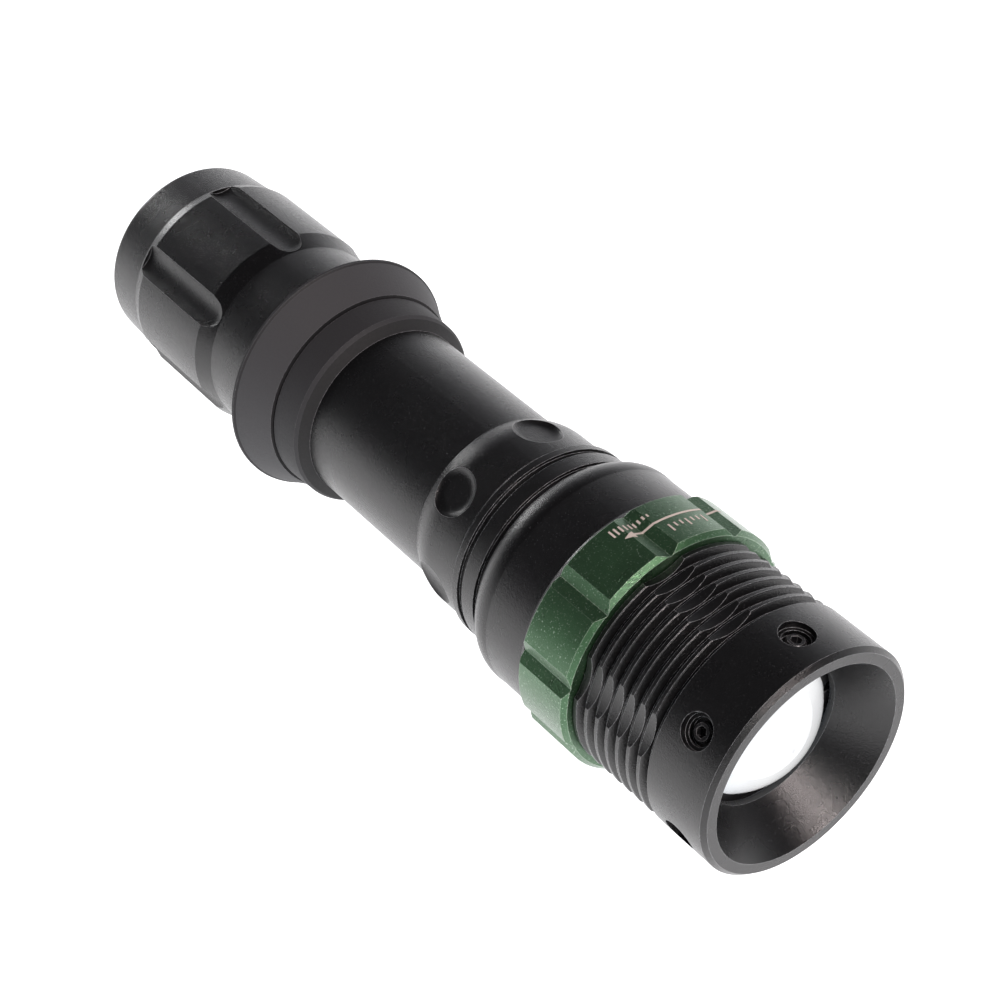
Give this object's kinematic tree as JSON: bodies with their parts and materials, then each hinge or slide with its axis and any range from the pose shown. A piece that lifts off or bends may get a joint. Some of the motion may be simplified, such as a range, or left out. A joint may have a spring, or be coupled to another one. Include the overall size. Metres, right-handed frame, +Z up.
{
  "type": "handheld flashlight with rotary focus",
  "caption": "Compact handheld flashlight with a rotary focus ring, finned bezel, rubber anti-roll grip ring and fluted screw-on tail cap with a push-button switch.",
  "frame": {"origin": "under the middle of the length, on the surface that the flashlight lies on", "axes": "+X along the beam, +Z up, the flashlight lying on its grip ring and focus ring"},
  "size_m": [0.1344, 0.0354, 0.0354],
  "materials": {
    "black_anodised": "bead-blasted, black anodised",
    "green_anodised": "green anodised, satin",
    "bare_aluminium": "machined",
    "black_steel": "black oxide",
    "bright_steel": "nickel plated",
    "cell_wrap": null,
    "seal_rubber": "smooth",
    "grip_rubber": "matt moulded",
    "boot_rubber": "matt moulded",
    "lens_clear": "polished, clear",
    "dark_ring": "black anodised",
    "white_board": "white mask",
    "led_resin": "clear resin over yellow phosphor",
    "green_board": "solder mask",
    "black_component": "moulded",
    "brass": "bright",
    "lead_red": "insulation",
    "sleeve_plastic": "translucent white",
    "switch_plastic": "moulded",
    "stem_plastic": "moulded"
  },
  "bodies": {
    "torch_body": {"bezel": "black_anodised", "bezel_set_screws": "black_steel", "bezel_o_ring": "seal_rubber", "guide_sleeve": "black_anodised", "head_collar": "black_anodised", "led_pill": "bare_aluminium", "led_board": "white_board", "led_base": "white_board", "led_dome": "led_resin", "led_centring_ring": "white_board", "led_board_screws": "bright_steel", "led_leads": "lead_red", "driver_board": "green_board", "driver_inductor": "black_component", "driver_chips": "black_component", "driver_retaining_ring": "brass", "driver_spring": "brass", "body_tube": "black_anodised", "neck_o_ring": "seal_rubber", "tail_o_ring": "seal_rubber", "grip_ring": "grip_rubber", "cell_sleeve": "sleeve_plastic", "cell_can": "cell_wrap", "cell_insulator": "white_board", "cell_terminal": "bright_steel"},
    "ring_body": {"focus_ring": "green_anodised", "focus_cam": "bare_aluminium"},
    "lens_carriage": {"lens_barrel": "black_anodised", "lens": "lens_clear", "lens_retaining_ring": "dark_ring", "lens_gasket": "seal_rubber", "guide_pins": "bright_steel"},
    "tail_contact": {"tail_spring": "brass"},
    "cap_body": {"tail_cap": "black_anodised", "switch_retaining_ring": "bare_aluminium", "switch_board": "green_board", "switch_housing": "switch_plastic", "switch_body": "switch_plastic", "switch_legs": "brass", "boot_washer": "bright_steel", "boot_flange": "boot_rubber"},
    "tail_button": {"boot_crown": "boot_rubber", "switch_plunger": "stem_plastic"}
  },
  "joints": [
    {"name": "focus_turn", "type": "hinge", "parent": "torch_body", "child": "ring_body", "pos_m": [0.03925, 0, 0.0177], "axis": [1, 0, 0], "range_deg": [0, 100]},
    {"name": "lens_travel", "type": "slide", "parent": "torch_body", "child": "lens_carriage", "axis": [-1, 0, 0], "range_m": [0, 0.008]},
    {"name": "cap_travel", "type": "slide", "parent": "torch_body", "child": "tail_contact", "axis": [-1, 0, 0], "range_m": [0, 0.005]},
    {"name": "cap_turn", "type": "hinge", "parent": "tail_contact", "child": "cap_body", "pos_m": [-0.0434, 0, 0.0177], "axis": [-1, 0, 0], "range_deg": [0, 1800]},
    {"name": "button_press", "type": "slide", "parent": "cap_body", "child": "tail_button", "axis": [1, 0, 0], "range_m": [0, 0.002], "stiffness_N_per_m": 1500, "springref_m": -0.0003}
  ],
  "couplings": [
    {"joint": "focus_turn", "follows": "lens_travel", "rad_per_m": 218.16},
    {"joint": "cap_turn", "follows": "cap_travel", "rad_per_m": 6283.1}
  ]
}
